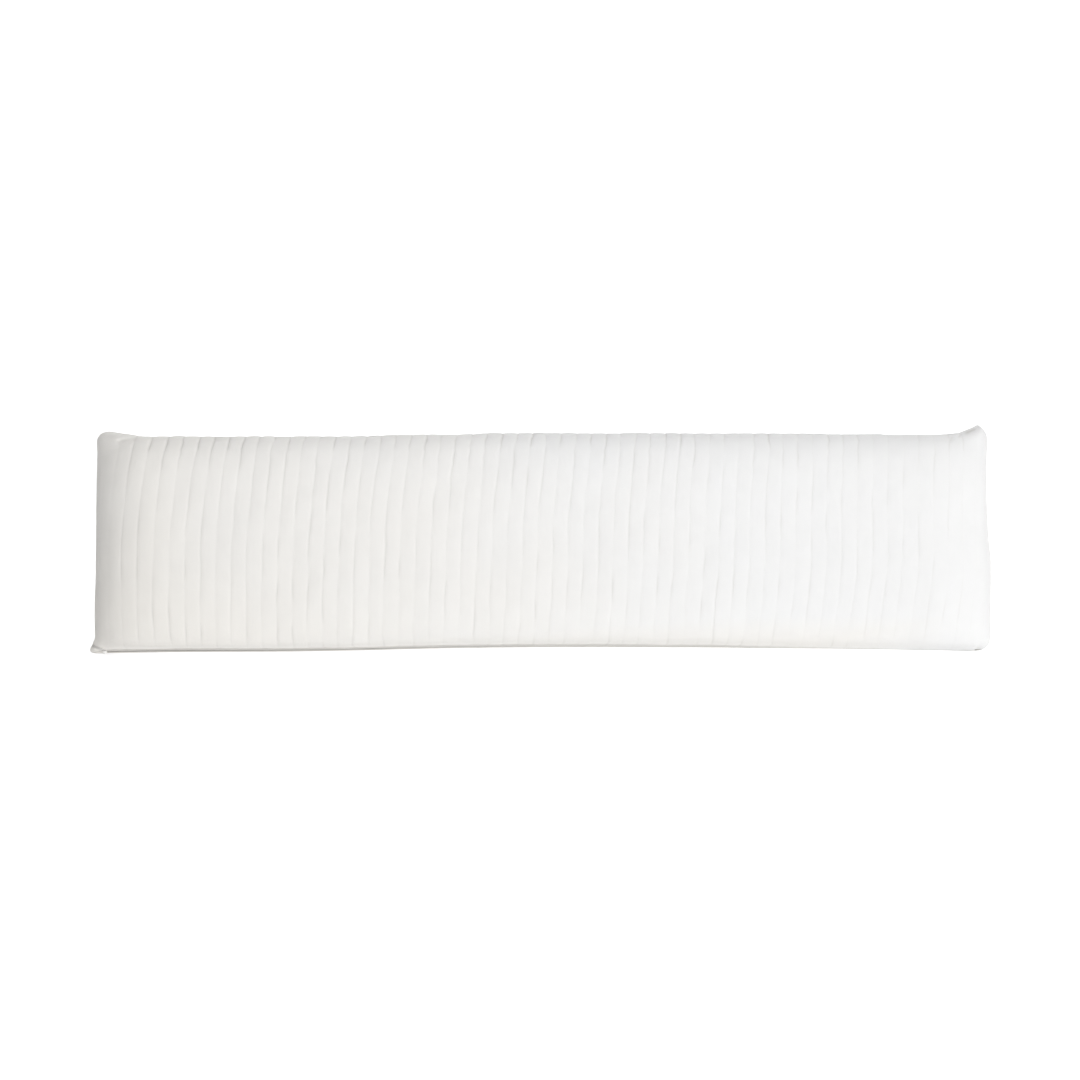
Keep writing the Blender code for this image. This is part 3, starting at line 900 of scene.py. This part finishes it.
def makeTapeTailPaintedShade():
    # the doubled end of the tape, pressed flatter towards its tip; a dark piece that also stands in for the
    # shade at the slot's end
    bpy.ops.object.select_all(action="DESELECT")
    bpy.ops.mesh.primitive_cube_add(size=1)
    tail = bpy.context.object
    tail.name = "tapeTailPaintedShade"
    length, deep, high = zipper["tail"]
    tail.scale = (length, deep, high)
    middle = zipHigh[0] + zipper["endTackFrom"] + (zipper["endTackWidth"] + length) / 2
    tail.location = (middle, zipSlot["depth"] - deep / 2 - zipper["tailFromBed"], 0)
    applyPlace(tail)
    bpy.ops.object.mode_set(mode="EDIT")
    bpy.ops.mesh.select_mode(type="VERT")
    bpy.ops.mesh.select_all(action="DESELECT")
    work = bmesh.from_edit_mesh(tail.data)
    for vert in work.verts:
        vert.select_set(vert.co.x > middle)
    bmesh.update_edit_mesh(tail.data)
    bpy.ops.transform.resize(value=(1, *zipper["tailTip"]), center_override=(middle, zipSlot["depth"], 0))
    bpy.ops.mesh.select_all(action="SELECT")
    bpy.ops.mesh.subdivide(number_cuts=zipper["tailCuts"])
    bpy.ops.object.mode_set(mode="OBJECT")
    bevel = tail.modifiers.new("softEdges", "BEVEL")
    bevel.width = zipper["tailEdge"]
    bevel.segments = 2
    bevel.limit_method = "ANGLE"
    bpy.ops.object.modifier_apply(modifier="softEdges")
    bpy.ops.object.shade_smooth()
    layAlongZip(tail)
    return tail


zipCoil = makeCoil()
zipTape = makeTape()
tapeTailPaintedShade = makeTapeTailPaintedShade()
startTack = makeTack("startTack", zipLow[0] + zipper["startTackFrom"], zipper["startTackWidth"])
endTack = makeTack("endTack", zipHigh[0] + zipper["endTackFrom"], zipper["endTackWidth"])
print("zip:", len(zipCoil.data.polygons), "faces of coil")


def makeMaterial(name):
    made = bpy.data.materials.new(name)
    made.use_nodes = True
    return made, made.node_tree, made.node_tree.nodes["Principled BSDF"]


def addNode(tree, kind, inputs=None, **settings):
    node = tree.nodes.new(kind)
    for key, value in settings.items():
        setattr(node, key, value)
    for key, value in (inputs or {}).items():
        if isinstance(value, bpy.types.NodeSocket):
            tree.links.new(value, node.inputs[key])
        else:
            node.inputs[key].default_value = value
    return node


def addMath(tree, operation, first, second=0.0, third=0.0):
    return addNode(tree, "ShaderNodeMath", {0: first, 1: second, 2: third}, operation=operation).outputs[0]


def addRange(tree, value, low, high):
    # 0 to 1 as the value goes from low to high
    return addNode(tree, "ShaderNodeMapRange", {"Value": value, "From Min": low, "From Max": high}).outputs[0]


knit = {
    "warmLitWhite": (0.835, 0.812, 0.770, 1),
    "coolLitWhite": (0.822, 0.822, 0.820, 1),
    "paintedLightTint": (-0.53, 0.57),  # painted light colour: the cloth is coloured warmest at its -x end, in the warm shade, and turns cool over this stretch
    "paintedLightAcross": 1.0,  # painted light colour: it turns cooler towards the far side too
    "paintedBounceEdge": (-0.176, -0.120),  # painted warm bounce light: the strip along the zip is coloured warm, most at its edge
    "paintedBounceFades": (0.35, 0.62),
    # colour of the painted shade in the grooves, folds and slot
    "paintedShadeColour": (0.595, 0.577, 0.550, 1),
    "walePitch": 0.00125,  # one column of loops
    "coursePitch": 0.00100,  # one row of loops
    "loopHeight": 0.00016,
    "loopShare": (0.35, 0.65),  # how much of a stitch's form lies in its loops, and in its legs
    "yarnShade": (0.955, 1.01),
    "fuzzHeight": 0.00012,
    "mottleScale": 55.0,
    "mottle": (0.985, 1.015),
    "tintShare": 0.55,
    "paintedShadeStrength": 0.75,
    "fuzzScale": 1400,
    "tintScale": 5.5,
    "roughness": 0.92,
    "sheen": 0.10,
}


def makeKnit():
    material, tree, shader = makeMaterial("quiltedKnit")
    cloth = addNode(tree, "ShaderNodeUVMap", uv_map="cloth")
    parts = addNode(tree, "ShaderNodeSeparateXYZ", {0: cloth.outputs["UV"]})
    along = addMath(tree, "DIVIDE", parts.outputs["X"], knit["walePitch"])
    around = addMath(tree, "DIVIDE", parts.outputs["Y"], knit["coursePitch"])
    inWale = addMath(tree, "SUBTRACT", addMath(tree, "FRACT", along), 0.5)
    slant = addMath(tree, "ABSOLUTE", inWale)
    loops = addMath(tree, "SINE", addMath(tree, "MULTIPLY", addMath(tree, "ADD", around, slant), 2 * pi))
    legs = addMath(tree, "SINE", addMath(tree, "MULTIPLY", slant, 2 * pi))
    loopForm = addMath(tree, "MULTIPLY_ADD", loops, *knit["loopShare"])
    loopForm = addMath(tree, "MULTIPLY", legs, loopForm)
    place = addNode(tree, "ShaderNodeTexCoord").outputs["Object"]
    fuzz = addNode(tree, "ShaderNodeTexNoise", {"Vector": place, "Scale": knit["fuzzScale"], "Detail": 2.0})
    soft = addNode(tree, "ShaderNodeTexNoise", {"Vector": place, "Scale": knit["mottleScale"], "Detail": 3.0})
    tint = addNode(tree, "ShaderNodeTexNoise", {"Vector": place, "Scale": knit["tintScale"], "Detail": 1.0})
    placeParts = addNode(tree, "ShaderNodeSeparateXYZ", {0: place})
    # painted light colour: warm towards the -x end and along the zip, cool towards the +x end and the far
    # side, with a random tone mixed in
    shifted = addMath(tree, "MULTIPLY_ADD", tint.outputs["Fac"], knit["tintShare"], placeParts.outputs["X"])
    shifted = addMath(tree, "MULTIPLY_ADD", placeParts.outputs["Y"], knit["paintedLightAcross"], shifted)
    lightTinted = addRange(tree, shifted, *knit["paintedLightTint"])
    bounceFromEdge = addRange(tree, placeParts.outputs["Y"], *knit["paintedBounceEdge"])
    faded = addRange(tree, placeParts.outputs["X"], *knit["paintedBounceFades"])
    coolLightShare = addMath(tree, "MINIMUM", lightTinted, addMath(tree, "MAXIMUM", bounceFromEdge, faded))
    litWhite = addNode(tree, "ShaderNodeMix", {0: coolLightShare, 6: knit["warmLitWhite"], 7: knit["coolLitWhite"]},
                    data_type="RGBA")
    # painted shade: the cloth turns darker where the attribute marks grooves, folds and the slot
    paintedGrooveShade = addNode(tree, "ShaderNodeAttribute", attribute_name="paintedGrooveShade")
    inPaintedShade = addMath(tree, "MULTIPLY", paintedGrooveShade.outputs["Fac"], knit["paintedShadeStrength"])
    withPaintedShade = addNode(tree, "ShaderNodeMix", {0: inPaintedShade, 6: litWhite.outputs[2], 7: knit["paintedShadeColour"]},
                      data_type="RGBA")
    low, high = knit["mottle"]
    mottle = addNode(tree, "ShaderNodeMapRange", {"Value": soft.outputs["Fac"], "To Min": low,
                                                  "To Max": high})
    low, high = knit["yarnShade"]
    yarn = addNode(tree, "ShaderNodeMapRange", {"Value": loopForm, "To Min": low, "To Max": high})
    shade = addMath(tree, "MULTIPLY", mottle.outputs[0], yarn.outputs[0])
    colour = addNode(tree, "ShaderNodeVectorMath", {0: withPaintedShade.outputs[2], 3: shade}, operation="SCALE")
    tree.links.new(colour.outputs[0], shader.inputs["Base Color"])
    fine = addNode(tree, "ShaderNodeBump",
                   {"Height": fuzz.outputs["Fac"], "Strength": 0.35, "Distance": knit["fuzzHeight"]})
    knitted = addNode(tree, "ShaderNodeBump", {"Height": loopForm, "Strength": 0.8,
                                               "Distance": knit["loopHeight"],
                                               "Normal": fine.outputs["Normal"]})
    tree.links.new(knitted.outputs["Normal"], shader.inputs["Normal"])
    shader.inputs["Roughness"].default_value = knit["roughness"]
    shader.inputs["Sheen Weight"].default_value = knit["sheen"]
    shader.inputs["Sheen Roughness"].default_value = 0.5
    shader.inputs["Specular IOR Level"].default_value = 0.25
    return material


threadLook = {
    "sewingThread": ((0.82, 0.81, 0.785, 1), (0.70, 0.69, 0.665, 1)),  # the colour, and in the twist
    "tackThread": ((0.93, 0.92, 0.90, 1), (0.86, 0.85, 0.83, 1)),
    "twistScale": 1600,
}


def makeThreadMaterial(name):
    material, tree, shader = makeMaterial(name)
    place = addNode(tree, "ShaderNodeTexCoord").outputs["Object"]
    twist = addNode(tree, "ShaderNodeTexWave", {"Vector": place, "Scale": threadLook["twistScale"],
                                                "Distortion": 2.0}, bands_direction="DIAGONAL")
    light, dark = threadLook[name]
    colour = addNode(tree, "ShaderNodeMix", {0: twist.outputs["Fac"], 6: dark, 7: light}, data_type="RGBA")
    tree.links.new(colour.outputs[2], shader.inputs["Base Color"])
    twisted = addNode(tree, "ShaderNodeBump", {"Height": twist.outputs["Fac"], "Strength": 0.4,
                                               "Distance": 0.0001})
    tree.links.new(twisted.outputs["Normal"], shader.inputs["Normal"])
    shader.inputs["Roughness"].default_value = 0.6
    shader.inputs["Sheen Weight"].default_value = 0.2
    return material


# The coil's and tape's grey is partly their own colour and partly painted shade: darkened to stand in for the
# shade in the slot.
zipLook = {
    "coil": (0.40, 0.375, 0.345, 1),
    "coilDark": (0.30, 0.28, 0.26, 1),
    "tape": (0.36, 0.34, 0.315, 1),
    "tapeDark": (0.26, 0.245, 0.225, 1),
    "ribPitch": 0.0009,
}


def makeCoilMaterial():
    material, tree, shader = makeMaterial("zipNylon")
    place = addNode(tree, "ShaderNodeTexCoord").outputs["Object"]
    wear = addNode(tree, "ShaderNodeTexNoise", {"Vector": place, "Scale": 320.0, "Detail": 3.0})
    colour = addNode(tree, "ShaderNodeMix", {0: wear.outputs["Fac"], 6: zipLook["coilDark"],
                                             7: zipLook["coil"]}, data_type="RGBA")
    tree.links.new(colour.outputs[2], shader.inputs["Base Color"])
    gloss = addNode(tree, "ShaderNodeMapRange", {"Value": wear.outputs["Fac"], "To Min": 0.36,
                                                 "To Max": 0.52})
    tree.links.new(gloss.outputs[0], shader.inputs["Roughness"])
    return material


def makeTapeMaterial():
    material, tree, shader = makeMaterial("zipTapeWeave")
    parts = addNode(tree, "ShaderNodeSeparateXYZ", {0: addNode(tree, "ShaderNodeTexCoord").outputs["Object"]})
    along = addMath(tree, "MULTIPLY", parts.outputs["X"], 2 * pi / zipLook["ribPitch"])
    up = addMath(tree, "MULTIPLY", parts.outputs["Z"], 2 * pi / zipLook["ribPitch"])
    ribs = addMath(tree, "MULTIPLY", addMath(tree, "SINE", along), addMath(tree, "SINE", up))
    weave = addNode(tree, "ShaderNodeMapRange", {"Value": ribs, "From Min": -1.0, "From Max": 1.0})
    colour = addNode(tree, "ShaderNodeMix", {0: weave.outputs[0], 6: zipLook["tapeDark"], 7: zipLook["tape"]},
                     data_type="RGBA")
    tree.links.new(colour.outputs[2], shader.inputs["Base Color"])
    woven = addNode(tree, "ShaderNodeBump", {"Height": weave.outputs[0], "Strength": 0.6, "Distance": 0.0002})
    tree.links.new(woven.outputs["Normal"], shader.inputs["Normal"])
    shader.inputs["Roughness"].default_value = 0.8
    return material


cover.data.materials.append(makeKnit())
stitchThreads.data.materials.append(makeThreadMaterial("sewingThread"))
zipCoil.data.materials.append(makeCoilMaterial())
tapeMaterial = makeTapeMaterial()
zipTape.data.materials.append(tapeMaterial)
tapeTailPaintedShade.data.materials.append(tapeMaterial)
tackMaterial = makeThreadMaterial("tackThread")
startTack.data.materials.append(tackMaterial)
endTack.data.materials.append(tackMaterial)

for piece in (cover, stitchThreads, zipCoil, zipTape, tapeTailPaintedShade, startTack, endTack):
    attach(piece, "root")
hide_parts("pillow")
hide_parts("zip_coil")
print("pieces are named and ride on the pillow")


# Studio: a pale floor, soft light from the right and a camera above the face.
studio = {
    "floorColour": (0.95, 0.95, 0.95, 1),
    "floorGlow": 0.40,
    "floorSize": 30,
    "floorDrop": 0.0002,  # below the pillow
    "skyStrength": 0.02,
    "lens": 70,
    "frameWidth": 1080 * 0.001536,
    "elevation": 86,
    "target": (-0.0011, -0.0016, 0.060),
}

softLights = (
    {"name": "roofLight", "place": (0.0, 0.8, 3.6), "size": 2.4, "energy": 112},
    {"name": "keyLight", "place": (3.6, -0.5, 2.4), "size": 1.6, "energy": 73},
    {"name": "frontLight", "place": (0.0, -3.4, 2.0), "size": 1.8, "energy": 56},
)


def makeStudio():
    bpy.ops.object.select_all(action="DESELECT")
    bpy.ops.mesh.primitive_plane_add(size=studio["floorSize"], location=(0, 0, -studio["floorDrop"]))
    floor = bpy.context.object
    floor.name = "studioFloor"
    bpy.ops.object.transform_apply(location=True, rotation=True, scale=True)
    material, tree, shader = makeMaterial("studioFloorPaint")
    shader.inputs["Base Color"].default_value = studio["floorColour"]
    shader.inputs["Roughness"].default_value = 0.9
    shader.inputs["Emission Color"].default_value = (1, 1, 1, 1)
    shader.inputs["Emission Strength"].default_value = studio["floorGlow"]
    floor.data.materials.append(material)
    world = bpy.data.worlds.new("studioSky")
    world.use_nodes = True
    world.node_tree.nodes["Background"].inputs["Color"].default_value = (1, 1, 1, 1)
    world.node_tree.nodes["Background"].inputs["Strength"].default_value = studio["skyStrength"]
    bpy.context.scene.world = world
    for row in softLights:
        light = bpy.data.lights.new(row["name"], "AREA")
        light.energy = row["energy"]
        light.size = row["size"]
        lamp = bpy.data.objects.new(row["name"], light)
        lamp.location = row["place"]
        lamp.rotation_euler = Vector(row["place"]).to_track_quat("Z", "Y").to_euler()
        bpy.context.scene.collection.objects.link(lamp)
    camera = bpy.data.cameras.new("viewCamera")
    camera.lens = studio["lens"]
    camera.clip_end = 100
    stand = bpy.data.objects.new("viewCamera", camera)
    distance = studio["frameWidth"] * studio["lens"] / camera.sensor_width
    tilt = radians(studio["elevation"])
    away = Vector((0, -cos(tilt), sin(tilt)))
    stand.location = Vector(studio["target"]) + away * distance
    stand.rotation_euler = (pi / 2 - tilt, 0, 0)
    bpy.context.scene.collection.objects.link(stand)
    bpy.context.scene.camera = stand
    bpy.context.scene.view_settings.view_transform = "Standard"


makeStudio()
print("studio is set")
